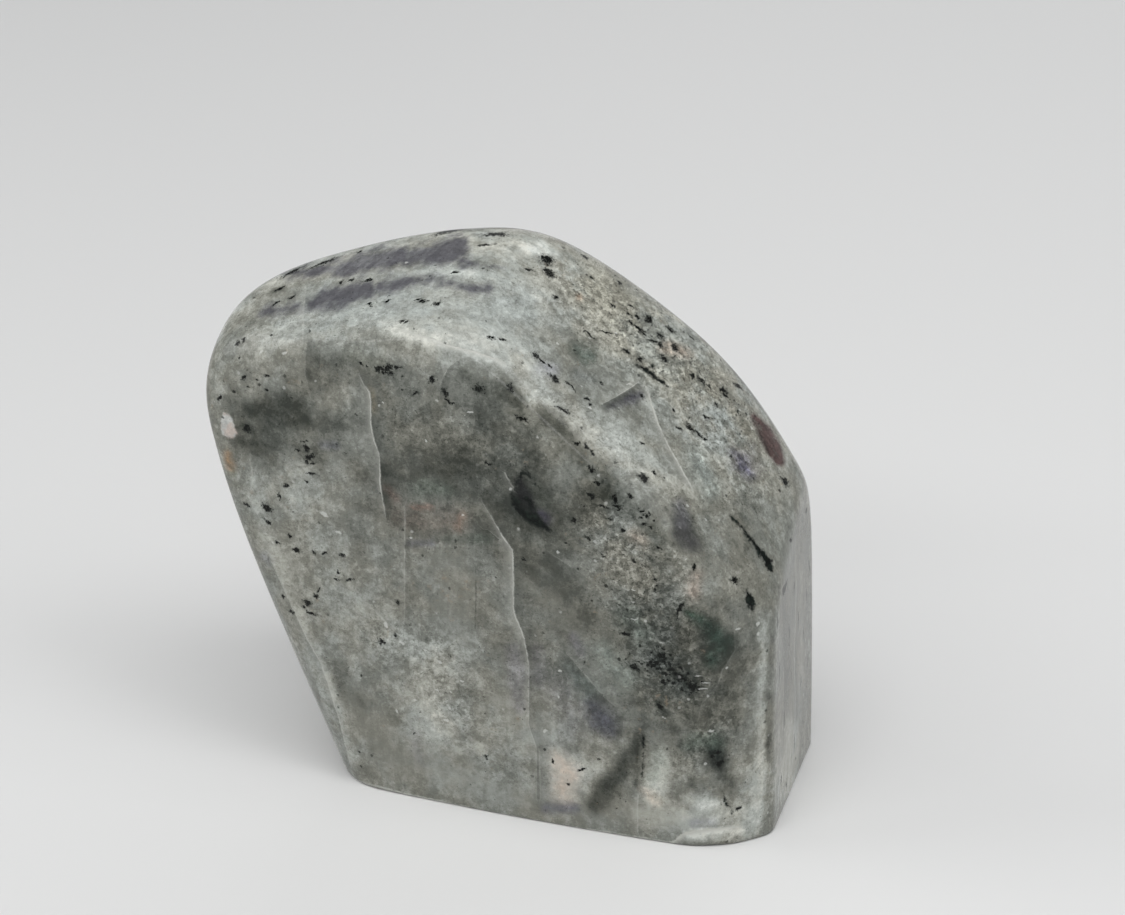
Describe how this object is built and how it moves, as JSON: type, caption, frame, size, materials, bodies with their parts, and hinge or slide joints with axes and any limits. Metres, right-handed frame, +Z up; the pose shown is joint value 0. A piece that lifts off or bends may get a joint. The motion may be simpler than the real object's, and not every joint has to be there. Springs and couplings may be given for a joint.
{
  "type": "labradorite freeform",
  "caption": "Polished labradorite freeform: an upright, leaning slab of rock with broad ground facets and a sawn flat base that it stands on.",
  "frame": {"origin": "middle of the bounding box's bottom, on the sawn base", "axes": "+Z up from the sawn base; -Y towards the broad front face; +X to the viewer's right, the stone's length"},
  "size_m": [0.076, 0.039, 0.073],
  "materials": {
    "labradorite": "polished"
  },
  "bodies": {
    "root": {"stone": "labradorite"}
  },
  "joints": []
}
